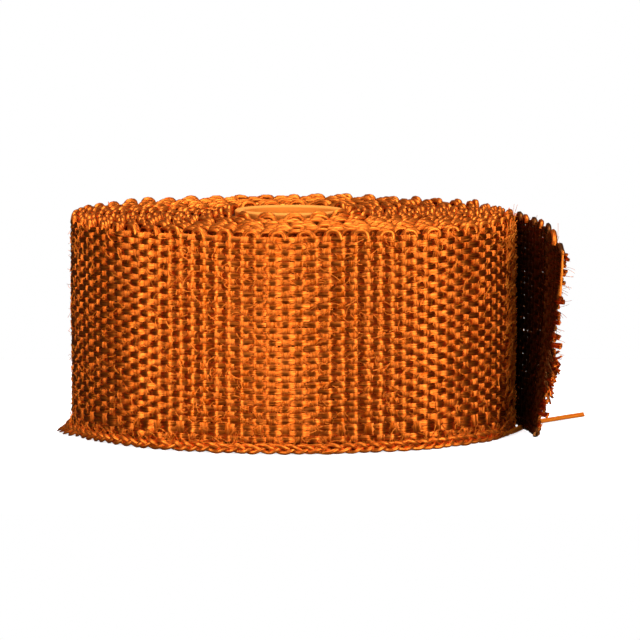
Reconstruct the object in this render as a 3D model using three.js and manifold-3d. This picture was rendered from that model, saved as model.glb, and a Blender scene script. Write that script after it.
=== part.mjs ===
// A roll of woven exhaust heat wrap: one long glass-fibre strip wound on a short cardboard tube.
// Units are millimetres. +Z runs up the roll's axis, and the strip's free end lies on the +X side.
// The roll stands on its end at z = 0, and the origin is the middle of the whole part's base.

import * as THREE from "three";
import * as BufferGeometryUtils from "three/addons/utils/BufferGeometryUtils.js";
import Module from "manifold-3d";

// The strip: its width across the selvages is the height of the roll.
const STRIP_WIDTH = 50.8;
const ROLL_OUTER_RADIUS = 51.9;
const TURN_COUNT = 24;

// Each turn's edge stands up as a flat crown, with a groove down to the next turn.
const GROOVE_DEPTH = 1.0;
const CROWN_SHARE = 0.5;
const ROLL_SEGMENTS = 32;

// The cardboard tube that the strip is wound on stands a little proud of the roll's top.
const CORE_OUTER_RADIUS = 12.8;
const CORE_WALL = 2.0;
const CORE_STANDS_PROUD = 1.0;
const CORE_EDGE_ROUNDING = 0.5;
const CORE_SEGMENTS = 40;
const CORE_CLEARANCE = 0.3;

// The free end of the strip leaves the roll along its tangent and runs on towards -Y.
const TAIL_LEAVES_AT_DEG = 22;
const TAIL_HUGS_FOR = 12.5;
const TAIL_REACH = 58;
const TAIL_SPREAD = 7.9;
const TAIL_BURIED = 0.35;
const TAIL_LEAN = 4.4;
const TAIL_STEPS_LONG = 12;
const TAIL_STEPS_HIGH = 4;

// Sizes that follow from the ones above.
const ROLL_BORE_RADIUS = CORE_OUTER_RADIUS + CORE_CLEARANCE;
const TURN_THICKNESS = (ROLL_OUTER_RADIUS - ROLL_BORE_RADIUS) / TURN_COUNT;

const wasm = await Module();
wasm.setup();

const wrapMaterial = new THREE.MeshStandardMaterial({
  color: 0xe0761a,
  roughness: 0.6,
  metalness: 0,
});
const cardboardMaterial = new THREE.MeshStandardMaterial({
  color: 0xf2b48a,
  roughness: 0.85,
  metalness: 0,
});

// A closed solid for joining, from a geometry whose faces already close.
function solidFrom(geometry) {
  const bare = geometry.clone();
  bare.deleteAttribute("normal");
  bare.deleteAttribute("uv");
  const merged = BufferGeometryUtils.mergeVertices(bare);
  return new wasm.Manifold(
    new wasm.Mesh({
      numProp: 3,
      vertProperties: merged.attributes.position.array,
      triVerts: new Uint32Array(merged.index.array),
    }),
  );
}

// The geometry of a joined solid.
function geometryFrom(solid) {
  const mesh = solid.getMesh();
  const geometry = new THREE.BufferGeometry();
  geometry.setAttribute("position", new THREE.BufferAttribute(mesh.vertProperties, 3));
  geometry.setIndex(new THREE.BufferAttribute(mesh.triVerts, 1));
  geometry.computeVertexNormals();
  return geometry;
}

// One end of the roll in section, from the bore outwards: a groove and a flat crown for each turn.
function turnEdges(crownZ, grooveZ) {
  const shoulder = (TURN_THICKNESS * (1 - CROWN_SHARE)) / 2;
  const points = [];
  for (let turn = 0; turn < TURN_COUNT; turn += 1) {
    const inner = ROLL_BORE_RADIUS + turn * TURN_THICKNESS;
    points.push(new THREE.Vector2(inner, grooveZ));
    points.push(new THREE.Vector2(inner + shoulder, crownZ));
    points.push(new THREE.Vector2(inner + TURN_THICKNESS - shoulder, crownZ));
  }
  points.push(new THREE.Vector2(ROLL_OUTER_RADIUS, grooveZ));
  return points;
}

// The wound turns as one turned solid with its bore.
function woundTurns() {
  const bottom = turnEdges(0, GROOVE_DEPTH);
  const top = turnEdges(STRIP_WIDTH, STRIP_WIDTH - GROOVE_DEPTH).reverse();
  const profile = [...bottom, ...top, bottom[0].clone()];
  return new THREE.LatheGeometry(profile, ROLL_SEGMENTS).rotateX(Math.PI / 2);
}

// The free end's middle line, seen from above.
function tailPath() {
  const angle = THREE.MathUtils.degToRad(TAIL_LEAVES_AT_DEG);
  const radius = ROLL_OUTER_RADIUS - TAIL_BURIED - TURN_THICKNESS / 2;
  const start = new THREE.Vector2(Math.cos(angle), Math.sin(angle)).multiplyScalar(radius);
  const along = new THREE.Vector2(Math.sin(angle), -Math.cos(angle));
  const bend = start.clone().addScaledVector(along, TAIL_HUGS_FOR);
  const end = new THREE.Vector2(ROLL_OUTER_RADIUS + TAIL_SPREAD, start.y - TAIL_REACH);
  return new THREE.QuadraticBezierCurve(start, bend, end);
}

// The outline of the free end from above: the middle line, half a turn thick to each side.
function tailOutline(path) {
  const inner = [];
  const outer = [];
  for (let step = 0; step <= TAIL_STEPS_LONG; step += 1) {
    const share = step / TAIL_STEPS_LONG;
    const point = path.getPoint(share);
    const along = path.getTangent(share);
    const side = new THREE.Vector2(-along.y, along.x).multiplyScalar(TURN_THICKNESS / 2);
    outer.push(point.clone().add(side));
    inner.push(point.clone().sub(side));
  }
  return new THREE.Shape([...inner, ...outer.reverse()]);
}

// The free end stands upright where it leaves, and its lower edge leans towards the roll further on.
function looseTail() {
  const path = tailPath();
  const geometry = new THREE.ExtrudeGeometry(tailOutline(path), {
    depth: STRIP_WIDTH,
    steps: TAIL_STEPS_HIGH,
    bevelEnabled: false,
  });
  const position = geometry.attributes.position;
  const startY = path.getPoint(0).y;
  for (let index = 0; index < position.count; index += 1) {
    const out = THREE.MathUtils.clamp((startY - position.getY(index)) / TAIL_REACH, 0, 1);
    const below = 1 - position.getZ(index) / STRIP_WIDTH;
    position.setX(index, position.getX(index) - TAIL_LEAN * out * out * below);
  }
  return geometry;
}

// The whole strip: its wound turns, and the free end that comes off the last one.
function wrapRoll() {
  const joined = solidFrom(woundTurns()).add(solidFrom(looseTail()));
  const mesh = new THREE.Mesh(geometryFrom(joined), wrapMaterial);
  mesh.name = "wrap_roll";
  return mesh;
}

// The cardboard tube, with its cut ends a little rounded.
function coreTube() {
  const inner = CORE_OUTER_RADIUS - CORE_WALL;
  const top = STRIP_WIDTH + CORE_STANDS_PROUD;
  const edge = CORE_EDGE_ROUNDING;
  const profile = [
    new THREE.Vector2(inner, edge),
    new THREE.Vector2(inner + edge, 0),
    new THREE.Vector2(CORE_OUTER_RADIUS - edge, 0),
    new THREE.Vector2(CORE_OUTER_RADIUS, edge),
    new THREE.Vector2(CORE_OUTER_RADIUS, top - edge),
    new THREE.Vector2(CORE_OUTER_RADIUS - edge, top),
    new THREE.Vector2(inner + edge, top),
    new THREE.Vector2(inner, top - edge),
    new THREE.Vector2(inner, edge),
  ];
  const geometry = new THREE.LatheGeometry(profile, CORE_SEGMENTS).rotateX(Math.PI / 2);
  const mesh = new THREE.Mesh(geometry, cardboardMaterial);
  mesh.name = "core_tube";
  return mesh;
}

// Stands the roll on z = 0 with the origin under the middle of everything.
function standOnBase(assembly) {
  const box = new THREE.Box3().setFromObject(assembly);
  const middle = box.getCenter(new THREE.Vector3());
  assembly.position.set(-middle.x, -middle.y, -box.min.z);
}

const assembly = new THREE.Group();
assembly.add(wrapRoll(), coreTube());
standOnBase(assembly);

const heatWrap = new THREE.Group();
heatWrap.add(assembly);

export default heatWrap;
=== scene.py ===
"""Dresses a roll of woven exhaust heat wrap: its yarns, knitted edge, frayed end and cardboard tube.

Every yarn is first laid out on the flat strip, where X runs along the strip, Y stands out of its face and
Z runs up across it. The strip's winding path then carries each point to its place on the roll.
All sizes are in metres unless a name says otherwise.
"""

from __future__ import annotations

import logging
import math
from dataclasses import dataclass, field
from enum import Enum

import bpy
import numpy as np
from bpy.types import ID, Material, Node, NodeSocket, NodeTree, Object
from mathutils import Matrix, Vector


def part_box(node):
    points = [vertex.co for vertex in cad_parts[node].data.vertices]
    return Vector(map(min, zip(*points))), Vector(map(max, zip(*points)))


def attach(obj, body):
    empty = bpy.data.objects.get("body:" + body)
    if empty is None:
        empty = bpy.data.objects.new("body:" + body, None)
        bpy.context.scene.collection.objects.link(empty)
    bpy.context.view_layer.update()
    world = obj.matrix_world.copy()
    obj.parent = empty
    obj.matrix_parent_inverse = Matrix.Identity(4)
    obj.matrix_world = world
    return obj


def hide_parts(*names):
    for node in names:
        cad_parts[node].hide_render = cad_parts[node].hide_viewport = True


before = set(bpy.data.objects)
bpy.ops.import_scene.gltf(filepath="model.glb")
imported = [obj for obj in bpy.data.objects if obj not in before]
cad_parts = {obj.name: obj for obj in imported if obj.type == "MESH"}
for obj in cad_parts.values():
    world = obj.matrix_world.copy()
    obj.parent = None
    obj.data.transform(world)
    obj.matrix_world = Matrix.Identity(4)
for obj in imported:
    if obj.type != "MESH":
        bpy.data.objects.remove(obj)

MM = 0.001
FULL_TURN = 2 * math.pi
STREAK_LENGTH = 4 * MM
log = logging.getLogger("heat_wrap")

Inputs = dict[int | str, object]
Pair = tuple[float, float]


class Frame(Enum):
    """How a yarn's cross-section is turned as it runs along its line."""

    UPRIGHT = "Z_UP"
    EASY = "MINIMUM_TWIST"


class Field:
    """A number or vector that flows through a node tree; arithmetic on it adds the nodes that work it out."""

    def __init__(self, tree: Tree, socket: NodeSocket) -> None:
        """Holds one output socket.

        Args:
            tree: The tree that the socket belongs to.
            socket: The output socket that gives the value.
        """
        self.tree = tree
        self.socket = socket

    def __add__(self, other: Field | float) -> Field:
        """The sum."""
        return self.tree.math("ADD", self, other)

    __radd__ = __add__

    def __sub__(self, other: Field | float) -> Field:
        """The difference."""
        return self.tree.math("SUBTRACT", self, other)

    def __rsub__(self, other: float) -> Field:
        """The difference, the other way round."""
        return self.tree.math("SUBTRACT", other, self)

    def __mul__(self, other: Field | float) -> Field:
        """The product."""
        return self.tree.math("MULTIPLY", self, other)

    __rmul__ = __mul__

    def __truediv__(self, other: Field | float) -> Field:
        """The quotient."""
        return self.tree.math("DIVIDE", self, other)

    def __pow__(self, other: float) -> Field:
        """The power."""
        return self.tree.math("POWER", self, other)

    def __neg__(self) -> Field:
        """The negative."""
        return self.tree.math("MULTIPLY", self, -1.0)


Value = Field | float


class Nodes:
    """A node tree under construction: of geometry, of a material or of the world."""

    def __init__(self, group: NodeTree) -> None:
        """Holds the tree that the nodes go into."""
        self.group = group

    def node(self, kind: str, inputs: Inputs | None = None, **options: object) -> Node:
        """Adds a node and sets or links its inputs.

        Args:
            kind: The node's class name.
            inputs: What goes into its sockets, by name or index.
            options: Its own properties.

        Returns:
            The node.
        """
        made = self.group.nodes.new(kind)
        for name, value in options.items():
            setattr(made, name, value)
        self.fill(made, inputs or {})
        return made

    def fill(self, made: Node, inputs: Inputs) -> None:
        """Sets or links a node's inputs.

        Args:
            made: The node.
            inputs: For each socket a Field, an output socket, a plain value, or None to leave it alone.
        """
        for key, value in inputs.items():
            source = value.socket if isinstance(value, Field) else value
            if isinstance(source, NodeSocket):
                self.group.links.new(source, made.inputs[key])
            elif source is not None:
                made.inputs[key].default_value = source

    def mix(self, share: NodeSocket, first: object, second: object) -> NodeSocket:
        """A mix of two colours, each of them a socket or a plain colour."""
        made = self.node("ShaderNodeMix", {0: share, "A": first, "B": second}, data_type="RGBA")
        return made.outputs["Result"]


class Tree(Nodes):
    """A geometry node tree under construction, with named inputs for its sizes."""

    def __init__(self, name: str) -> None:
        """Starts an empty tree.

        Args:
            name: The name of the piece that it makes.
        """
        super().__init__(bpy.data.node_groups.new(name, "GeometryNodeTree"))
        self.name = name
        self.group.is_modifier = True
        self.group.interface.new_socket("Geometry", in_out="OUTPUT", socket_type="NodeSocketGeometry")
        self.entry = self.group.nodes.new("NodeGroupInput")
        self.exit = self.group.nodes.new("NodeGroupOutput")
        self.settings: dict[str, object] = {}

    def given(self, name: str, value: object, kind: str = "Float") -> Field:
        """Adds a named input.

        Args:
            name: What the input is called.
            value: What the modifier sets it to.
            kind: The socket's kind: Float, Object or Material.

        Returns:
            The input as a field.
        """
        socket = self.group.interface.new_socket(name, in_out="INPUT", socket_type="NodeSocket" + kind)
        self.settings[socket.identifier] = value
        return Field(self, self.entry.outputs[name])

    def flow(self, kind: str, inputs: Inputs | None = None, **options: object) -> Field:
        """Adds a node in the same way and gives its first output."""
        return Field(self, self.node(kind, inputs, **options).outputs[0])

    def math(self, operation: str, *values: Value) -> Field:
        """The Math node's operation on one to three numbers."""
        return self.flow("ShaderNodeMath", dict(enumerate(values)), operation=operation)

    def cos(self, angle: Value) -> Field:
        """The cosine."""
        return self.math("COSINE", angle)

    def sin(self, angle: Value) -> Field:
        """The sine."""
        return self.math("SINE", angle)

    def clamp01(self, value: Value) -> Field:
        """The value held between 0 and 1."""
        return self.math("MINIMUM", self.math("MAXIMUM", value, 0.0), 1.0)

    def bell(self, value: Field) -> Field:
        """A bell curve, 1 where the value is 0 and nearly 0 from about two units off."""
        return self.math("EXPONENT", -(value * value))

    def signed_power(self, value: Field, power: float) -> Field:
        """The value's size raised to a power, with its sign kept."""
        return self.math("SIGN", value) * self.math("ABSOLUTE", value) ** power

    def vector(self, x: Value = 0.0, y: Value = 0.0, z: Value = 0.0) -> Field:
        """Three numbers as a vector."""
        return self.flow("ShaderNodeCombineXYZ", {0: x, 1: y, 2: z})

    def split(self, vector: Field) -> tuple[Field, ...]:
        """A vector's three numbers."""
        return tuple(Field(self, part) for part in self.node("ShaderNodeSeparateXYZ", {0: vector}).outputs)

    def blend_vectors(self, *terms: tuple[Field, Value]) -> Field:
        """A sum of vectors, each times its own number.

        Args:
            terms: Pairs of a vector and a number.

        Returns:
            The summed vector.
        """
        total: Field | None = None
        for vector, scale in terms:
            part = self.flow("ShaderNodeVectorMath", {0: vector, "Scale": scale}, operation="SCALE")
            if total is not None:
                part = self.flow("ShaderNodeVectorMath", {0: total, 1: part}, operation="ADD")
            total = part
        return total

    def position(self) -> tuple[Field, ...]:
        """The point's own place as three numbers."""
        return self.split(self.flow("GeometryNodeInputPosition"))

    def index(self) -> Field:
        """The point's own number."""
        return self.flow("GeometryNodeInputIndex")

    def noise(self, x: Value, y: Value = 0.0, z: Value = 0.0) -> Field:
        """Smooth noise from about -0.5 to 0.5, with features about one unit across."""
        place = self.vector(x, y, z)
        return self.flow("ShaderNodeTexNoise", {"Vector": place, "Scale": 1.0, "Detail": 0.0}) - 0.5

    def random(self, low: float, high: float, which: Field, seed: int) -> Field:
        """A random number from low to high for each thing, by the thing's number and a fixed seed."""
        inputs = {2: low, 3: high, "ID": which, "Seed": seed}
        return Field(self, self.node("FunctionNodeRandomValue", inputs, data_type="FLOAT").outputs[1])

    def stored(self, name: str, kind: str = "FLOAT") -> Field:
        """What is stored on each point under that name."""
        return self.flow("GeometryNodeInputNamedAttribute", {"Name": name}, data_type=kind)

    def store(self, geometry: Field, name: str, value: Value, kind: str = "FLOAT") -> Field:
        """The geometry with a value stored on each point, of the kind FLOAT or FLOAT_VECTOR."""
        inputs = {"Geometry": geometry, "Name": name, "Value": value}
        return self.flow("GeometryNodeStoreNamedAttribute", inputs, data_type=kind, domain="POINT")

    def streaked(self, geometry: Field, x: Value, y: Value = 0.0, z: Value = 0.0) -> Field:
        """The geometry with each point's place in the streaks of its yarn's colour."""
        return self.store(geometry, "strand", self.vector(x, y, z), "FLOAT_VECTOR")

    def line(self, count: Value, start: Value, step: Value) -> Field:
        """A row of that many points, a step apart."""
        return self.flow("GeometryNodeMeshLine", {"Count": count, "Start Location": start, "Offset": step})

    def on_points(self, points: Field, thing: Field) -> Field:
        """A copy of the thing on every point, realized."""
        return self.realize(self.flow("GeometryNodeInstanceOnPoints", {"Points": points, "Instance": thing}))

    def copies(self, thing: Field, label: str, count: Value, start: Value, step: Value) -> Field:
        """A copy of the thing on each point of a row, with the point's number stored under the label."""
        return self.on_points(self.store(self.line(count, start, step), label, self.index()), thing)

    def realize(self, geometry: Field) -> Field:
        """Instances made real."""
        return self.flow("GeometryNodeRealizeInstances", {"Geometry": geometry})

    def move_to(self, geometry: Field, place: Field) -> Field:
        """The geometry with each point set to its new place."""
        return self.flow("GeometryNodeSetPosition", {"Geometry": geometry, "Position": place})

    def without(self, geometry: Field, chosen: Field) -> Field:
        """The geometry without the points for which the field is over 0."""
        inputs = {"Geometry": geometry, "Selection": chosen}
        return self.flow("GeometryNodeDeleteGeometry", inputs, domain="POINT")

    def swept(self, lines: Field, section: Field, swell: Value | None, turn: Frame) -> Field:
        """Closed bodies of one section along lines of points.

        Args:
            lines: Chains of points joined by edges.
            section: The section's outline.
            swell: Each point's share of the section's size, or None for all of it.
            turn: How the section is turned.

        Returns:
            The bodies, with the direction of their lines stored as "tape_fibre".
        """
        curve = self.flow("GeometryNodeMeshToCurve", {"Mesh": lines})
        turned = self.flow("GeometryNodeSetCurveNormal", {"Curve": curve}, mode=turn.value)
        curve = self.store(turned, "tape_fibre", self.flow("GeometryNodeInputTangent"), "FLOAT_VECTOR")
        inputs = {"Curve": curve, "Profile Curve": section, "Scale": swell, "Fill Caps": True}
        return self.flow("GeometryNodeCurveToMesh", inputs)

    def tubes(self, lines: Field, width: Value, depth: Value, sides: int, swell: Value, turn: Frame) -> Field:
        """Closed tubes of oval section along lines of points.

        Args:
            lines: Chains of points joined by edges.
            width: Across the section's first axis.
            depth: Across its second axis.
            sides: How many sides the section has.
            swell: Each point's share of the section's size.
            turn: How the section is turned.

        Returns:
            The tubes, with their place round the section stored as "around".
        """
        ring = self.flow("GeometryNodeCurvePrimitiveCircle", {"Resolution": sides, "Radius": 0.5})
        x, y, _ = self.position()
        ring = self.store(ring, "around", self.vector(x * 2.0, y * 2.0), "FLOAT_VECTOR")
        oval = self.flow("GeometryNodeTransform", {"Geometry": ring, "Scale": self.vector(width, depth, 1.0)})
        return self.swept(lines, oval, swell, turn)

    def carried(
        self, geometry: Field, guide: Object, length: float, along: Field, out: Field, up: Field
    ) -> Field:
        """Carries points from a straight line to a guide curve.

        Args:
            geometry: What is carried.
            guide: The curve it goes to.
            length: The curve's length.
            along: Each point's distance along the curve; past its end it runs straight on.
            out: Its distance to the curve's left.
            up: Its height above the curve.

        Returns:
            The geometry in place, with the direction of its filaments stored as "fibre".
        """
        whole = self.given("Guide length", length)
        path = self.given("Guide", guide, "Object")
        info = self.node("GeometryNodeObjectInfo", {"Object": path}, transform_space="ORIGINAL")
        sample = self.node(
            "GeometryNodeSampleCurve",
            {"Curves": info.outputs["Geometry"], "Length": self.math("MINIMUM", along, whole - 0.0001)},
            mode="LENGTH",
            use_all_curves=True,
        )
        centre = Field(self, sample.outputs["Position"])
        tangent = Field(self, sample.outputs["Tangent"])
        tx, ty, _ = self.split(tangent)
        outward = self.vector(-ty, tx)
        upward = self.vector(z=1.0)
        over = self.math("MAXIMUM", along - whole, 0.0)
        place = self.blend_vectors((centre, 1.0), (tangent, over), (outward, out), (upward, up))
        fx, fy, fz = self.split(self.stored("tape_fibre", "FLOAT_VECTOR"))
        fibre = self.blend_vectors((tangent, fx), (outward, fy), (upward, fz))
        return self.move_to(self.store(geometry, "fibre", fibre, "FLOAT_VECTOR"), place)

    def grow(self, geometry: Field, material: Material) -> Object:
        """Ends the tree in Realize Instances and Set Material, runs it and keeps its result as a plain mesh.

        Args:
            geometry: What the tree has made.
            material: Its finish.

        Returns:
            The finished piece, at the origin and with no modifier.
        """
        smooth = self.flow("GeometryNodeSetShadeSmooth", {"Geometry": self.realize(geometry)})
        finish = self.given("Material", material, "Material")
        dressed = self.flow("GeometryNodeSetMaterial", {"Geometry": smooth, "Material": finish})
        self.fill(self.exit, {0: dressed})
        carrier = placed(self.name + "_carrier", bpy.data.meshes.new(self.name + "_carrier"))
        modifier = carrier.modifiers.new("Tree", "NODES")
        modifier.node_group = self.group
        for identifier, value in self.settings.items():
            modifier[identifier] = value
        graph = bpy.context.evaluated_depsgraph_get()
        mesh = bpy.data.meshes.new_from_object(carrier.evaluated_get(graph), depsgraph=graph)
        mesh.name = self.name
        bpy.data.objects.remove(carrier)
        bpy.data.node_groups.remove(self.group)
        log.info("%s: %d faces", self.name, len(mesh.polygons))
        return placed(self.name, mesh)


def placed(name: str, data: ID) -> Object:
    """Puts a new object into the scene.

    Args:
        name: Its name.
        data: The mesh, curve, light or camera that it shows.

    Returns:
        The object, at the origin.
    """
    made = bpy.data.objects.new(name, data)
    bpy.context.scene.collection.objects.link(made)
    return made


def new_material(name: str) -> tuple[Material, Nodes, Node]:
    """Starts a material.

    Args:
        name: Its name.

    Returns:
        The material, its node tree and the shader in it.
    """
    made = bpy.data.materials.new(name)
    made.use_nodes = True
    return made, Nodes(made.node_tree), made.node_tree.nodes["Principled BSDF"]


def curve_through(name: str, points: np.ndarray) -> Object:
    """Makes a helper curve for node trees to sample.

    Args:
        name: Its name.
        points: The points it goes through, one a row.

    Returns:
        The curve, to be removed once its yarns are made.
    """
    curve = bpy.data.curves.new(name, "CURVE")
    curve.dimensions = "3D"
    spline = curve.splines.new("POLY")
    spline.points.add(len(points) - 1)
    spline.points.foreach_set("co", np.column_stack([points, np.ones(len(points))]).ravel())
    return placed(name, curve)


@dataclass(frozen=True)
class YarnFinish:
    """Glass yarn dyed orange: fine filaments side by side, with a silky band of light across them.

    The colours are linear; streaks run along the filaments, and where the tail's inner face lies in shadow
    its colour is darkened with painted shade.
    """

    name: str
    deep: tuple[float, float, float] = (0.5, 0.075, 0.001)
    pale: tuple[float, float, float] = (1.0, 0.25, 0.03)
    # painted shade: the dark colour mixed in on the tail's inner face, standing for the shadow it lies in
    soil: tuple[float, float, float] = (0.11, 0.036, 0.006)
    metal: float = 0.96
    roughness: float = 0.55
    anisotropy: float = 1.0
    stray: float = 0.8

    def material(self) -> Material:
        """Builds the material.

        Returns:
            The material, which reads the strand coordinates stored on the yarns.
        """
        made, tree, shader = new_material(self.name)
        names = ("strand", "around", "fibre", "soil")
        strand, around, fibre, painted_shading = (
            tree.node("ShaderNodeAttribute", attribute_name=name) for name in names
        )
        place = tree.node(
            "ShaderNodeVectorMath",
            {0: around.outputs["Vector"], 1: (2.4, 2.4, 2.4), 2: strand.outputs["Vector"]},
            operation="MULTIPLY_ADD",
        )
        layers = {"Vector": place.outputs[0], "Scale": 1.0, "Detail": 2.0, "Roughness": 0.6}
        streaks = tree.node("ShaderNodeTexNoise", layers)
        contrast = {"Value": streaks.outputs[0], "From Min": 0.38, "From Max": 0.62}
        shade = tree.node("ShaderNodeMapRange", contrast)
        colour = tree.mix(shade.outputs[0], (*self.deep, 1), (*self.pale, 1))
        centre = {0: streaks.outputs[1], 1: (0.5, 0.5, 0.5)}
        centred = tree.node("ShaderNodeVectorMath", centre, operation="SUBTRACT")
        bent = tree.node(
            "ShaderNodeVectorMath",
            {0: centred.outputs[0], 1: (self.stray, self.stray, self.stray), 2: fibre.outputs["Vector"]},
            operation="MULTIPLY_ADD",
        )
        # the base colour is darkened by the stored painted shade on the tail's inner face
        finish = {
            "Base Color": tree.mix(painted_shading.outputs["Fac"], colour, (*self.soil, 1)),
            "Tangent": bent.outputs[0],
            "Anisotropic Rotation": 0.25,
            "Metallic": self.metal,
            "Roughness": self.roughness,
            "Anisotropic": self.anisotropy,
        }
        tree.fill(shader, finish)
        return made


@dataclass(frozen=True)
class PlainFinish:
    """A matt surface with a soft mottle of two colours."""

    name: str
    first: tuple[float, float, float]
    second: tuple[float, float, float]
    roughness: float
    mottle_scale: tuple[float, float, float] = (300.0, 300.0, 300.0)

    def material(self) -> Material:
        """Builds the material.

        Returns:
            The material, on Object coordinates.
        """
        made, tree, shader = new_material(self.name)
        place = tree.node("ShaderNodeTexCoord").outputs["Object"]
        stretched = tree.node("ShaderNodeVectorMath", {0: place, 1: self.mottle_scale}, operation="MULTIPLY")
        layers = {"Vector": stretched.outputs[0], "Scale": 1.0, "Detail": 4.0}
        mottle = tree.node("ShaderNodeTexNoise", layers)
        colour = tree.mix(mottle.outputs[0], (*self.first, 1), (*self.second, 1))
        tree.fill(shader, {"Base Color": colour, "Roughness": self.roughness, "Specular IOR Level": 0.15})
        return made


@dataclass
class Strip:
    """The woven strip before it is wound: its weave and its edges."""

    width: float
    thickness: float = 1.617 * MM
    pitch: float = 3.14 * MM
    row_pitch: float = 1.37 * MM
    first_row: float = 3.4 * MM
    rows: int = 34
    swing: float = 0.42 * MM
    weft_swing: float = 0.09 * MM

    @property
    def last_row(self) -> float:
        """Height of the top row of warp yarn."""
        return self.first_row + (self.rows - 1) * self.row_pitch


@dataclass(frozen=True)
class Fuzz:
    """A scatter of loose filaments: where they start on the strip, and how they lie.

    Each pair is a least and a most. Headings are in degrees, 0 along the strip and 90 up it.
    """

    name: str
    count: int
    along: Pair
    height: Pair
    heading: Pair
    length: Pair
    lift: Pair
    start: float
    thickness: float
    seed: int
    from_end: bool = False
    steps: int = 4


@dataclass
class WindingPath:
    """The strip's middle line from the tube outwards, seen from above, with its free end."""

    axis: Vector
    start_radius: float
    end_radius: float
    thickness: float
    drift: float = 1.1 * MM
    leaves_at: float = math.radians(22)
    tail_hugs_for: float = 12.5 * MM
    tail_end: tuple[float, float] = (62.9 * MM, -33.0 * MM)
    steps_per_turn: int = 180
    tail_steps: int = 60
    points: np.ndarray = field(init=False)
    lengths: np.ndarray = field(init=False)
    wound_length: float = field(init=False)

    def __post_init__(self) -> None:
        """Lays the points out and measures along them."""
        turns = (self.end_radius - self.start_radius) / self.thickness
        angles = np.linspace(0, turns * FULL_TURN, int(turns * self.steps_per_turn))
        radii = self.start_radius + self.thickness * angles / FULL_TURN
        bearings = self.leaves_at + angles[-1] - angles
        shift = self.drift * (radii - self.start_radius) / (self.end_radius - self.start_radius)
        wound = np.stack([shift + radii * np.cos(bearings), radii * np.sin(bearings)], axis=1)
        along = np.array([math.sin(self.leaves_at), -math.cos(self.leaves_at)])
        bend = wound[-1] + along * self.tail_hugs_for
        share = np.linspace(0, 1, self.tail_steps + 1)[1:, None]
        end = np.array(self.tail_end)
        tail = wound[-1] * (1 - share) ** 2 + bend * 2 * share * (1 - share) + end * share**2
        flat = np.concatenate([wound, tail]) + np.array([self.axis.x, self.axis.y])
        self.points = np.column_stack([flat, np.zeros(len(flat))])
        gaps = np.linalg.norm(np.diff(self.points, axis=0), axis=1)
        self.lengths = np.concatenate([[0], np.cumsum(gaps)])
        self.wound_length = float(self.lengths[len(wound) - 1])

    @property
    def length(self) -> float:
        """The whole strip's length."""
        return float(self.lengths[-1])

    def back_round(self, degrees: float) -> float:
        """Where the strip is, that far round the roll before its tail leaves."""
        return self.wound_length - math.radians(degrees) * self.end_radius

    def guide(self) -> Object:
        """The path as a helper curve for the node trees to sample."""
        return curve_through("winding_path", self.points)


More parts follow.
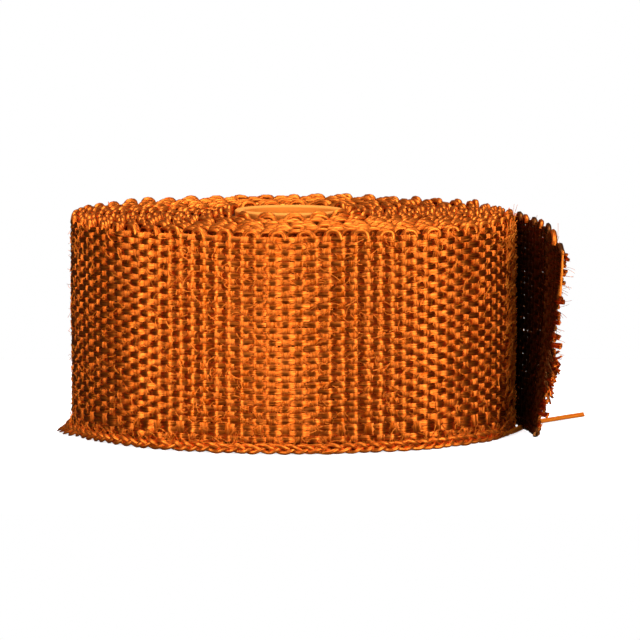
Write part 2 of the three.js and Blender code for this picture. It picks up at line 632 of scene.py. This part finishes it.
@dataclass
class WovenRoll:
    """The wound strip: every yarn of the outermost turn and tail, and the edges of the turns inside."""

    strip: Strip
    path: WindingPath
    guide: Object
    outer_columns: int = 128
    steps: int = 4
    tail_lean: float = 7.2 * MM
    edge_wander: float = 0.7 * MM
    end_droop: float = 5.0 * MM
    end_droop_length: float = 9 * MM
    flare: float = 3.6 * MM
    flare_length: float = 11 * MM
    flare_height: float = 3.4 * MM
    raised_until: float = 350 * MM
    raised_by: float = 1.9 * MM
    yarn: Material | None = None
    edge: Material | None = None
    inside: Material | None = None
    loose: Material | None = None

    @property
    def outer_start(self) -> float:
        """Where along the strip the outermost turn begins."""
        return self.path.length - self.outer_columns * self.strip.pitch

    @property
    def inner_columns(self) -> int:
        """How many weft columns lie in the turns inside, an even number."""
        return 2 * int(self.outer_start / self.strip.pitch / 2)

    @property
    def inner_start(self) -> float:
        """Where the first of those columns begins."""
        return self.outer_start - self.inner_columns * self.strip.pitch

    def painted_shading(self, tree: Tree, geometry: Field, depth: float = 0.45 * MM) -> Field:
        """Stores how much painted shade darkens each point, on the inner face of the tail alone, which lies
        in shadow.

        Args:
            tree: The tree being built.
            geometry: Yarns on the flat strip.
            depth: How far out the painted shade reaches.

        Returns:
            The yarns with their painted shade stored on them.
        """
        along, out, _ = tree.position()
        on_tail = tree.clamp01((along - self.path.wound_length - 3 * MM) / (9 * MM))
        inner = tree.clamp01((depth - out) / (0.5 * MM))
        return tree.store(geometry, "soil", on_tail * inner)

    def wound(self, tree: Tree, geometry: Field) -> Field:
        """Carries points from the flat strip to the roll.

        Args:
            tree: The tree being built.
            geometry: Yarns on the flat strip.

        Returns:
            The yarns in place, with the direction of their filaments stored as "fibre".
        """
        length = tree.given("Strip length", self.path.length)
        tail = tree.given("Tail length", self.path.length - self.path.wound_length)
        lean = tree.given("Tail lean", self.tail_lean)
        width = tree.given("Strip width", self.strip.width)
        wander = tree.given("Edge wander", self.edge_wander)
        flare = tree.given("Flare", self.flare)
        flare_at = tree.given("Flare place", self.path.back_round(160))
        along, out, up = tree.position()
        high = tree.clamp01(up / width)
        below = 1.0 - high
        run = tree.clamp01((along - length) / tail + 1.0)
        short = tree.math("MAXIMUM", length - along, 0.0) / self.end_droop_length
        droop = tree.bell(short) * self.end_droop + run * 0.6 * MM
        bell = tree.bell((along - flare_at) / self.flare_length)
        foot = tree.clamp01(1.0 - up / self.flare_height)
        ripple = tree.noise(along / 0.016, up / 0.02, 2.0) * 0.5 * MM
        shift = out + ripple - lean * run * run * below**2.2 + flare * bell * foot * foot
        rise = tree.clamp01(tree.noise(along / 0.03, 3.0) * 1.6 + 0.5) * wander
        raised = tree.clamp01(1.0 - along / self.raised_until) * high * self.raised_by
        lifted = run * run * below * below * 2.0 * MM + raised
        height = up + rise * high + lifted - droop * high**4
        return tree.carried(geometry, self.guide, self.path.length, along, shift, height)

    def phase(self, tree: Tree, row: Field) -> Field:
        """The row's place in the over-and-under order, where the second and third rows go together."""
        return row - tree.clamp01(row - 1.0)

    def frayed_edge(self, tree: Tree, height: Field) -> Field:
        """Where along the strip the weave gives out at each height: whole at the top and ragged below."""
        length = tree.given("Woven length", self.path.length)
        low = tree.clamp01((40.5 * MM - height) / (3.0 * MM))
        ragged = tree.noise(height / 0.0045, 7.0, 1.0) * 5.0 * MM
        return length - 1.5 * MM - low * (ragged + 2.6 * MM)

    def warp(self, name: str, first: int, rows: int) -> Object:
        """The yarns that run along the strip, over and under its columns.

        Args:
            name: The piece's name.
            first: The lowest row's number.
            rows: How many rows.

        Returns:
            The yarns as one piece.
        """
        strip = self.strip
        tree = Tree(name)
        pitch = tree.given("Column pitch", strip.pitch)
        swing = tree.given("Swing", strip.swing)
        begin = tree.given("Start", self.outer_start)
        low = strip.first_row + first * strip.row_pitch
        row_points = tree.line(rows, tree.vector(begin, 0.0, low), tree.vector(z=strip.row_pitch))
        row_points = tree.store(row_points, "row", tree.index() + float(first))
        count = (self.outer_columns + 1) * self.steps + 1
        end = tree.line(count, tree.vector(), tree.vector(pitch / float(self.steps)))
        lines = tree.on_points(row_points, end)
        x, _, z = tree.position()
        row = tree.stored("row")
        edge = self.frayed_edge(tree, z)
        stub = tree.random(0.8 * MM, 3.4 * MM, row, 11)
        lines = tree.without(lines, tree.math("GREATER_THAN", x, edge + stub))
        column = (x - begin) / pitch - 0.5
        wave = tree.cos((column + self.phase(tree, row)) * math.pi)
        lift = 1.0 + tree.noise(x / 0.004, row * 3.7) * 0.5
        free = tree.clamp01((x - edge + 1.0 * MM) / (3.5 * MM))
        splay = free * free * tree.random(0.1 * MM, 2.0 * MM, row, 12)
        y = wave * swing * lift + tree.noise(x / 0.013, row * 1.3, 5.0) * 0.2 * MM + 0.12 * MM + splay
        sag = free * free * tree.random(-0.3 * MM, 1.2 * MM, row, 13)
        height = z + tree.noise(x / 0.008, row * 2.1, 9.0) * 0.5 * MM - sag
        lines = tree.move_to(lines, tree.vector(x, y, height))
        lines = tree.streaked(lines, x / STREAK_LENGTH, row * 7.3)
        swell = 1.0 + tree.noise(x / 0.005, row * 5.1, 2.0) * 0.35 + wave * 0.12
        tubes = tree.tubes(lines, 0.8 * MM, 1.42 * MM, 6, swell, Frame.UPRIGHT)
        return tree.grow(self.wound(tree, self.painted_shading(tree, tubes)), self.yarn)

    def weft(self) -> Object:
        """The flat yarns that cross the strip.

        Returns:
            The yarns as one piece.
        """
        strip = self.strip
        tree = Tree("weft_columns")
        pitch = tree.given("Column pitch", strip.pitch)
        swing = tree.given("Swing", strip.weft_swing)
        begin = tree.given("Start", self.outer_start)
        row_pitch = tree.given("Row pitch", strip.row_pitch)
        foot = strip.first_row - strip.row_pitch / 2
        start = tree.vector(begin + pitch * 0.5, 0.0, foot)
        rise = tree.line(strip.rows * 2 + 1, tree.vector(), tree.vector(z=row_pitch / 2.0))
        lines = tree.copies(rise, "column", self.outer_columns, start, tree.vector(pitch))
        x, _, z = tree.position()
        lines = tree.without(lines, tree.math("GREATER_THAN", x, self.frayed_edge(tree, z)))
        column = tree.stored("column")
        row = self.phase(tree, (z - strip.first_row) / row_pitch)
        wave = tree.cos((row + column) * math.pi)
        side = tree.noise(z / 0.009, column * 1.7) * 0.45 * MM
        lines = tree.move_to(lines, tree.vector(x + side, -wave * swing, z))
        lines = tree.streaked(lines, z / STREAK_LENGTH, column * 5.9, 4.0)
        swell = 1.0 + tree.noise(z / 0.006, column * 3.3) * 0.2
        tubes = tree.tubes(lines, 2.82 * MM, 0.5 * MM, 6, swell, Frame.EASY)
        return tree.grow(self.wound(tree, self.painted_shading(tree, tubes)), self.yarn)

    def arches(
        self, name: str, start: float, columns: int, steps: int, foot: float, rise: float, reach: float
    ) -> Object:
        """The weft's turns along the top edge, each over two columns.

        Args:
            name: The piece's name.
            start: Where along the strip they begin.
            columns: How many columns they serve.
            steps: Points in each arch.
            foot: How far below the top row the arches start.
            rise: How tall they are.
            reach: From each arch's middle to its legs, as a share of the column pitch.

        Returns:
            The turns as one piece.
        """
        strip = self.strip
        tree = Tree(name)
        pitch = tree.given("Column pitch", strip.pitch)
        begin = tree.given("Start", start)
        height = tree.given("Rise", rise)
        low = tree.vector(begin + pitch, 0.0, strip.last_row - foot)
        points = tree.line(columns // 2, low, tree.vector(pitch * 2.0))
        points = tree.store(points, "pair", tree.index())
        points = tree.store(points, "middle", tree.position()[0])
        unit = tree.line(steps + 1, tree.vector(), tree.vector(1.0 / steps))
        lines = tree.on_points(points, unit)
        x, _, z = tree.position()
        pair = tree.stored("pair")
        middle = tree.stored("middle")
        angle = (1.0 - (x - middle)) * math.pi
        sway = tree.random(-0.4 * MM, 0.4 * MM, pair, 3)
        tall = tree.random(0.85, 1.08, pair, 4)
        level = tree.math("MAXIMUM", tree.sin(angle), 0.0) ** 0.8
        across = tree.signed_power(tree.cos(angle), 0.7)
        on_tail = tree.clamp01((middle - self.path.wound_length) / 0.01)
        odd = tree.math("FLOORED_MODULO", pair, 2.0)
        new_x = middle + across * pitch * (on_tail * 0.36 + reach) + level * sway
        tilt = tree.random(-0.3 * MM, 0.3 * MM, pair, 5)
        new_y = across * -0.42 * MM + level * tilt + on_tail * odd * 0.35 * MM
        tall = tall * (1.0 - on_tail * (odd * 0.05 + 0.25))
        lines = tree.move_to(lines, tree.vector(new_x, new_y, z + level * tall * height))
        lines = tree.streaked(lines, angle * 0.5, pair * 5.9, 2.0)
        # painted shade: every other arch on the tail is darkened in colour, as if shadowed by its neighbour
        lines = tree.store(lines, "soil", on_tail * odd * 0.9)
        tubes = tree.tubes(lines, 1.15 * MM, 1.15 * MM, 6, tree.random(0.85, 1.15, pair, 6), Frame.EASY)
        return tree.grow(self.wound(tree, tubes), self.edge)

    def chain(self, name: str, start: float, columns: int, steps: int, sides: int) -> Object:
        """The knitted chain along the bottom edge, as three strands plaited flat against it.

        Args:
            name: The piece's name.
            start: Where along the strip it begins.
            columns: How many columns it runs along.
            steps: Points for each column.
            sides: Sides of each strand.

        Returns:
            The chain as one piece.
        """
        tree = Tree(name)
        pitch = tree.given("Column pitch", self.strip.pitch)
        begin = tree.given("Start", start)
        middle = tree.given("Height", 1.35 * MM)
        swing = tree.given("Swing", 0.85 * MM)
        stitch = tree.given("Plait length", 9.4 * MM)
        end = tree.line(columns * steps + 1, tree.vector(), tree.vector(pitch / float(steps)))
        lines = tree.copies(end, "which", 3, tree.vector(begin), tree.vector())
        x, _, _ = tree.position()
        which = tree.stored("which")
        turn = (x / stitch + which / 3.0 + tree.noise(x / 0.01, which * 4.1) * 0.35) * FULL_TURN
        y = tree.sin(turn * 2.0) * 0.38 * MM + 0.6 * MM
        z = middle + tree.sin(turn) * swing + tree.noise(x / 0.007, which * 2.3, 4.0) * 0.5 * MM
        lines = tree.move_to(lines, tree.vector(x, y, tree.math("MAXIMUM", z, 0.45 * MM)))
        lines = tree.streaked(lines, x / STREAK_LENGTH, which * 7.3, 6.0)
        swell = 1.0 + tree.noise(x / 0.004, which * 3.1, 8.0) * 0.5
        tubes = tree.tubes(lines, 1.0 * MM, 1.05 * MM, sides, swell, Frame.EASY)
        return tree.grow(self.wound(tree, self.painted_shading(tree, tubes, 1.2 * MM)), self.edge)

    def fuzz(self, kind: Fuzz) -> Object:
        """Loose filaments.

        Args:
            kind: Where they start and how they lie.

        Returns:
            The filaments as one piece.
        """
        tree = Tree(kind.name)
        thickness = tree.given("Thickness", kind.thickness)
        unit = tree.line(kind.steps + 1, tree.vector(), tree.vector(1.0 / kind.steps))
        lines = tree.copies(unit, "which", kind.count, tree.vector(), tree.vector())
        share, _, _ = tree.position()
        which = tree.stored("which")
        height = tree.random(*kind.height, which, kind.seed)
        along = tree.random(*kind.along, which, kind.seed + 1)
        if kind.from_end:
            along = along + self.frayed_edge(tree, height)
        heading = tree.random(*(math.radians(angle) for angle in kind.heading), which, kind.seed + 2)
        bend = heading + share * tree.random(-0.9, 0.9, which, kind.seed + 3)
        run = share * tree.random(*kind.length, which, kind.seed + 4)
        lift = share * tree.random(*kind.lift, which, kind.seed + 5)
        wave = tree.noise(share * 1.7, which * 3.3) * 0.5 * MM
        level = tree.math("MAXIMUM", height + run * tree.sin(bend), 0.3 * MM)
        place = tree.vector(along + run * tree.cos(bend), lift + wave + kind.start, level)
        lines = tree.move_to(lines, place)
        lines = tree.streaked(lines, share, which * 7.3, 8.0)
        tubes = tree.tubes(lines, thickness, thickness, 3, 1.0 - share * 0.5, Frame.EASY)
        carried = self.wound(tree, self.painted_shading(tree, tubes, 0.9 * MM))
        return tree.grow(carried, self.edge if kind.from_end else self.loose)

    def end_yarn(self) -> Object:
        """The last cross yarn, which has come loose and lies down the end of the tail.

        Returns:
            The yarn as one piece.
        """
        tree = Tree("end_yarn")
        top = tree.given("Top", self.strip.width - 0.8 * MM)
        line = tree.line(18, tree.vector(self.path.length - 0.3 * MM, 0.0, top), tree.vector(z=-0.85 * MM))
        x, _, z = tree.position()
        line = tree.move_to(line, tree.vector(x + tree.noise(z / 0.006, 4.0) * 1.2 * MM, -0.2 * MM, z))
        line = tree.streaked(line, z / STREAK_LENGTH, 1.0, 9.0)
        swell = 1.0 + tree.noise(z / 0.004, 2.0) * 0.5
        tubes = tree.tubes(line, 0.62 * MM, 0.62 * MM, 8, swell, Frame.EASY)
        return tree.grow(self.wound(tree, tubes), self.loose)

    def bands(self) -> Object:
        """The bodies of the turns inside, which only show down between the yarns; their near-black colour is
        painted shade for the shadowed gaps.

        Returns:
            The turns as one closed band.
        """
        strip = self.strip
        tree = Tree("inner_turns")
        step = 3 * MM
        start = tree.vector(z=strip.width / 2 + 0.2 * MM)
        line = tree.line(int(self.outer_start / step), start, tree.vector(tree.given("Step", step)))
        x, _, _ = tree.position()
        line = tree.streaked(line, x / 0.012)
        size = {0: 1.1 * MM, 1: strip.width - 5.2 * MM}
        section = tree.flow("GeometryNodeCurvePrimitiveQuadrilateral", size)
        return tree.grow(self.wound(tree, tree.swept(line, section, None, Frame.UPRIGHT)), self.inside)

    def build(self) -> list[Object]:
        """Makes every yarn of the roll.

        Returns:
            The pieces, none of them declared yet.
        """
        half = self.strip.rows // 2
        outer, inner = (self.outer_start, self.outer_columns), (self.inner_start, self.inner_columns)
        face = (self.outer_start + 10 * MM, self.path.length - 6 * MM)
        crease = (self.path.back_round(366), self.path.back_round(316))
        low, high = 1 * MM, self.strip.width - 2 * MM
        hair, thread = 0.07 * MM, 0.11 * MM
        return [
            self.warp("warp_lower", 0, half),
            self.warp("warp_upper", half, self.strip.rows - half),
            self.weft(),
            self.arches("top_turns_outer", *outer, 8, 0.1 * MM, 2.0 * MM, 0.47),
            self.arches("top_turns_inner", *inner, 7, 0.3 * MM, 2.0 * MM, 0.6),
            self.chain("edge_chain_outer", *outer, 6, 6),
            self.chain("edge_chain_inner", *inner, 3, 4),
            self.bands(),
            self.fuzz(Fuzz("face_hairs", 2200, face, (low, high), (-35, 35), (1.5 * MM, 5 * MM),
                           (-0.2 * MM, 0.5 * MM), 0.62 * MM, hair, 20)),
            self.fuzz(Fuzz("face_threads", 1500, face, (low, high), (-50, 50), (1.2 * MM, 3 * MM),
                           (-0.3 * MM, 0.3 * MM), 0.78 * MM, 0.17 * MM, 60)),
            self.fuzz(Fuzz("standing_hairs", 1300, face, (low, high - 1 * MM), (-180, 180),
                           (0.8 * MM, 2.2 * MM), (0.4 * MM, 1.4 * MM), 0.4 * MM, hair, 30)),
            self.fuzz(Fuzz("edge_hairs", 700, face, (low, 2.6 * MM), (10, 170), (1 * MM, 3 * MM),
                           (0.0, 0.8 * MM), 0.7 * MM, thread, 40)),
            self.fuzz(Fuzz("end_bristles", 100, (-3 * MM, 0.0), (12.5 * MM, 21 * MM), (-52, -34),
                           (3 * MM, 5.5 * MM), (0.8 * MM, 2.8 * MM), -0.3 * MM, 0.42 * MM, 50,
                           from_end=True)),
            self.fuzz(Fuzz("crease_threads", 1500, crease, (low, high), (95, 170), (1.2 * MM, 3.4 * MM),
                           (0.0, 0.9 * MM), 0.75 * MM, 0.19 * MM, 80)),
            self.end_yarn(),
            self.fuzz(Fuzz("end_hairs", 60, (-1 * MM, 1 * MM), (3 * MM, high), (-75, 20), (1 * MM, 3 * MM),
                           (0.2 * MM, 3 * MM), 0.1 * MM, hair, 70, from_end=True)),
        ]


@dataclass
class LooseYarn:
    """The yarn pulled out of the bottom edge, which runs off across the floor behind the tail."""

    axis: Vector
    knots: tuple[tuple[float, float, float], ...] = (
        (40.0, -33.0, 1.4),
        (50.5, -14.0, 0.9),
        (56.5, 8.0, 0.6),
        (63.0, 18.5, 0.6),
        (70.6, 28.0, 0.7),
    )
    strands: int = 4
    steps: int = 70
    yarn: Material | None = None

    def guide(self) -> tuple[Object, float]:
        """The yarn's middle line, through its knots.

        Returns:
            A helper curve, and its length.
        """
        knots = np.array(self.knots) * MM + np.array([self.axis.x, self.axis.y, 0])
        share = np.linspace(0, len(knots) - 1, 80)
        steps = np.clip(share.astype(int), 0, len(knots) - 2)
        part = (share - steps)[:, None]
        slopes = np.gradient(knots, axis=0)
        points = (
            knots[steps] * (1 + 2 * part) * (1 - part) ** 2
            + knots[steps + 1] * part**2 * (3 - 2 * part)
            + slopes[steps] * part * (1 - part) ** 2
            + slopes[steps + 1] * part**2 * (part - 1)
        )
        length = float(np.linalg.norm(np.diff(points, axis=0), axis=1).sum())
        return curve_through("loose_yarn_guide", points), length

    def build(self) -> Object:
        """Makes the yarn.

        Returns:
            Its twisted strands as one piece.
        """
        guide, length = self.guide()
        tree = Tree("loose_yarn")
        twist = tree.given("Twist length", 5.5 * MM)
        run = tree.line(self.steps, tree.vector(), tree.vector(length / self.steps))
        lines = tree.copies(run, "which", self.strands, tree.vector(), tree.vector())
        x, _, _ = tree.position()
        which = tree.stored("which")
        reach = tree.random(0.95, 1.0, which, 61) * length
        lines = tree.without(lines, tree.math("GREATER_THAN", x, reach))
        loose = tree.clamp01(x / length * 2.5 - 1.5)
        angle = (tree.math("MINIMUM", x, length * 0.7) / twist + which / float(self.strands)) * FULL_TURN
        radius = 0.33 * MM + loose * loose * 0.06 * MM
        apart = tree.clamp01(1.0 - which) * loose * 0.9 * MM
        place = tree.vector(x, tree.cos(angle) * radius, tree.sin(angle) * radius + apart)
        lines = tree.move_to(lines, place)
        lines = tree.streaked(lines, x / STREAK_LENGTH, which * 7.3, 3.0)
        swell = 1.0 - tree.clamp01(1.0 - which) * loose * 0.5
        tubes = tree.tubes(lines, 0.7 * MM, 0.7 * MM, 6, swell, Frame.EASY)
        along, out, up = tree.position()
        made = tree.grow(tree.carried(tubes, guide, length, along, out, up), self.yarn)
        bpy.data.objects.remove(guide)
        return made


@dataclass
class CardboardCore:
    """The short tube in the middle, with its soft cut rims."""

    low: Vector
    high: Vector
    wall: float = 2.0 * MM
    rim: float = 0.5 * MM
    segments: int = 128
    board: Material | None = None
    cut: Material | None = None

    def build(self) -> Object:
        """Makes the tube.

        Returns:
            The tube as one closed piece.
        """
        axis = (self.low + self.high) / 2
        outer = (self.high.x - self.low.x) / 2
        inner = outer - self.wall
        top = self.high.z
        profile: list[tuple[float, float]] = []
        corners = [
            (inner + self.rim, self.rim, math.pi),
            (outer - self.rim, self.rim, 1.5 * math.pi),
            (outer - self.rim, top - self.rim, 0.0),
            (inner + self.rim, top - self.rim, 0.5 * math.pi),
        ]
        for radius, height, first in corners:
            for step in range(5):
                angle = first + step * math.pi / 8
                profile.append((radius + self.rim * math.cos(angle), height + self.rim * math.sin(angle)))
        vertices: list[tuple[float, float, float]] = []
        for segment in range(self.segments):
            bearing = FULL_TURN * segment / self.segments
            cos, sin = math.cos(bearing), math.sin(bearing)
            for radius, height in profile:
                vertices.append((axis.x + radius * cos, axis.y + radius * sin, height))
        count = len(profile)
        faces: list[tuple[int, int, int, int]] = []
        for segment in range(self.segments):
            here, there = segment * count, (segment + 1) % self.segments * count
            for point in range(count):
                beyond = (point + 1) % count
                faces.append((here + point, there + point, there + beyond, here + beyond))
        mesh = bpy.data.meshes.new("core_board")
        mesh.from_pydata(vertices, [], faces)
        mesh.materials.append(self.board)
        mesh.materials.append(self.cut)
        for face in mesh.polygons:
            face.material_index = int(face.center.z > top - self.rim)
        mesh.shade_smooth()
        return placed("core_board", mesh)


@dataclass
class Studio:
    """The pale floor, the soft lights and the camera, placed as the photograph was taken."""

    axis: Vector
    camera_offset: float = 7.09 * MM
    camera_distance: float = 1823.0 * MM
    camera_height: float = 202.0 * MM
    camera_dip: float = math.radians(5.52)
    focal_pixels: float = 7846.0
    image_pixels: float = 640.0
    sensor: float = 36.0
    light_distance: float = 0.7

    def camera(self) -> None:
        """Makes the camera."""
        data = bpy.data.cameras.new("camera")
        data.sensor_width = self.sensor
        data.lens = self.focal_pixels * self.sensor / self.image_pixels
        data.clip_end = 100.0
        made = placed("camera", data)
        x, y = self.axis.x + self.camera_offset, self.axis.y - self.camera_distance
        made.location = (x, y, self.camera_height)
        made.rotation_euler = (math.pi / 2 - self.camera_dip, 0.0, 0.0)
        bpy.context.scene.camera = made

    def softbox(
        self, name: str, azimuth: float, elevation: float, width: float, height: float, power: float
    ) -> None:
        """Makes one soft light that faces the roll.

        Args:
            name: The light's name.
            azimuth: Degrees round from the front, positive to the right.
            elevation: Degrees above level.
            width: The panel's width.
            height: The panel's height.
            power: In watts.
        """
        data = bpy.data.lights.new(name, "AREA")
        data.shape = "RECTANGLE"
        data.size = width
        data.size_y = height
        data.energy = power
        made = placed(name, data)
        turn, tilt = math.radians(azimuth), math.radians(elevation)
        towards = Vector((math.sin(turn) * math.cos(tilt), -math.cos(turn) * math.cos(tilt), math.sin(tilt)))
        made.location = self.axis + Vector((0, 0, 25 * MM)) + towards * self.light_distance
        made.rotation_euler = towards.to_track_quat("Z", "Y").to_euler()

    def shade_card(self, azimuth: float, distance: float, near: float, far: float, height: float) -> None:
        """Makes the card that keeps one light off the inside of the tail. It isn't seen itself.

        Args:
            azimuth: The light's own, in degrees.
            distance: From the roll's middle towards the light.
            near: From the light's middle line to the card's near edge.
            far: To its far edge.
            height: The card's height.
        """
        turn = math.radians(azimuth)
        towards = Vector((math.sin(turn), -math.cos(turn), 0.0)) * distance
        across = Vector((math.cos(turn), math.sin(turn), 0.0))
        up = Vector((0.0, 0.0, height))
        first, last = (self.axis + towards + across * reach for reach in (near, far))
        finish = {"Base Color": (0.01, 0.01, 0.01, 1)}
        made = self.panel("shade_card", [first, last, last + up, first + up], "black_card", finish)
        made.visible_camera = False

    def floor(self) -> None:
        """Makes the plain pale floor."""
        half, level = 0.16, -0.05 * MM
        corners = [(-half, -half, level), (half, -half, level), (half, half, level), (-half, half, level)]
        finish = {
            "Base Color": (0.93, 0.93, 0.93, 1),
            "Roughness": 0.9,
            "Emission Color": (1, 1, 1, 1),
            "Emission Strength": 0.8,
        }
        made = self.panel("floor", corners, "floor_paper", finish)
        made.visible_glossy = False
        made.visible_diffuse = False

    def panel(self, name: str, corners: list, material: str, finish: Inputs) -> Object:
        """Makes one flat thing of the studio.

        Args:
            name: Its name.
            corners: Its four corners in order.
            material: Its material's name.
            finish: What that material's shader is set to.

        Returns:
            The panel.
        """
        mesh = bpy.data.meshes.new(name)
        mesh.from_pydata(corners, [], [(0, 1, 2, 3)])
        made, tree, shader = new_material(material)
        tree.fill(shader, finish)
        mesh.materials.append(made)
        return placed(name, mesh)

    def world(self) -> None:
        """White seen directly, and for the roll a dim fill that comes from the front."""
        world = bpy.data.worlds.new("studio")
        world.use_nodes = True
        bpy.context.scene.world = world
        tree = Nodes(world.node_tree)
        white = world.node_tree.nodes["Background"]
        tree.fill(white, {0: (1, 1, 1, 1), 1: 1.0})
        place = tree.node("ShaderNodeTexCoord").outputs["Generated"]
        depth = tree.node("ShaderNodeSeparateXYZ", {0: place}).outputs["Y"]
        fade = {"Value": depth, "From Min": 0.3, "From Max": -0.6, "To Min": 0.035, "To Max": 0.16}
        front = tree.node("ShaderNodeMapRange", fade)
        fill = tree.node("ShaderNodeBackground", {0: (1, 1, 1, 1), 1: front.outputs[0]})
        seen = tree.node("ShaderNodeLightPath").outputs["Is Camera Ray"]
        choice = tree.node("ShaderNodeMixShader", {0: seen, 1: fill.outputs[0], 2: white.outputs[0]})
        tree.fill(world.node_tree.nodes["World Output"], {0: choice.outputs[0]})

    def build(self) -> None:
        """Sets the whole studio up."""
        self.camera()
        self.floor()
        self.world()
        self.softbox("left_softbox", -42, 12, 0.12, 0.5, 4.2)
        self.softbox("right_softbox", 38, 12, 0.2, 0.5, 4.8)
        self.softbox("top_softbox", 0, 85, 0.4, 0.4, 4.9)
        self.shade_card(-42, 165 * MM, 31 * MM, 120 * MM, 150 * MM)
        bpy.context.scene.view_settings.view_transform = "Standard"


def main() -> None:
    """Builds the roll's pieces in order."""
    logging.basicConfig(level=logging.INFO, format="%(name)s %(message)s")
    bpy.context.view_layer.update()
    core_low, core_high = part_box("core_tube")
    roll_low, roll_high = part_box("wrap_roll")
    axis = (core_low + core_high) / 2
    roll_radius = (roll_high.y - roll_low.y) / 2
    core_radius = (core_high.x - core_low.x) / 2
    Studio(Vector((axis.x, axis.y, 0))).build()

    strip = Strip(width=roll_high.z)
    path = WindingPath(
        axis=axis,
        start_radius=core_radius + 1.1 * MM,
        end_radius=roll_radius,
        thickness=strip.thickness,
    )
    guide = path.guide()
    roll = WovenRoll(
        strip,
        path,
        guide,
        yarn=YarnFinish("glass_yarn").material(),
        edge=YarnFinish(
            "edge_yarn", pale=(1.0, 0.25, 0.025), metal=0.9, anisotropy=0.35, roughness=0.5
        ).material(),
        loose=YarnFinish(
            "loose_yarn", (0.9, 0.19, 0.004), (1.0, 0.3, 0.015), metal=0.5, anisotropy=0.3, roughness=0.6
        ).material(),
        # near-black painted shade: the inner turns seen down between the yarns are coloured as the shadow
        # there
        inside=PlainFinish("inner_turns", (0.02, 0.005, 0.001), (0.05, 0.011, 0.001), 0.8).material(),
    )
    pieces = roll.build()
    pieces.append(LooseYarn(axis, yarn=roll.loose).build())
    for piece in pieces:
        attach(piece, "root")
        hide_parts("wrap_roll")
    bpy.data.objects.remove(guide)
    core = CardboardCore(
        core_low,
        core_high,
        board=PlainFinish(
            "cardboard", (0.62, 0.15, 0.012), (0.9, 0.27, 0.03), 0.9, (90, 90, 2500)
        ).material(),
        cut=PlainFinish("cardboard_edge", (0.9, 0.33, 0.06), (0.85, 0.27, 0.035), 0.9).material(),
    ).build()
    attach(core, "root")
    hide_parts("core_tube")


if __name__ == "__main__":
    main()
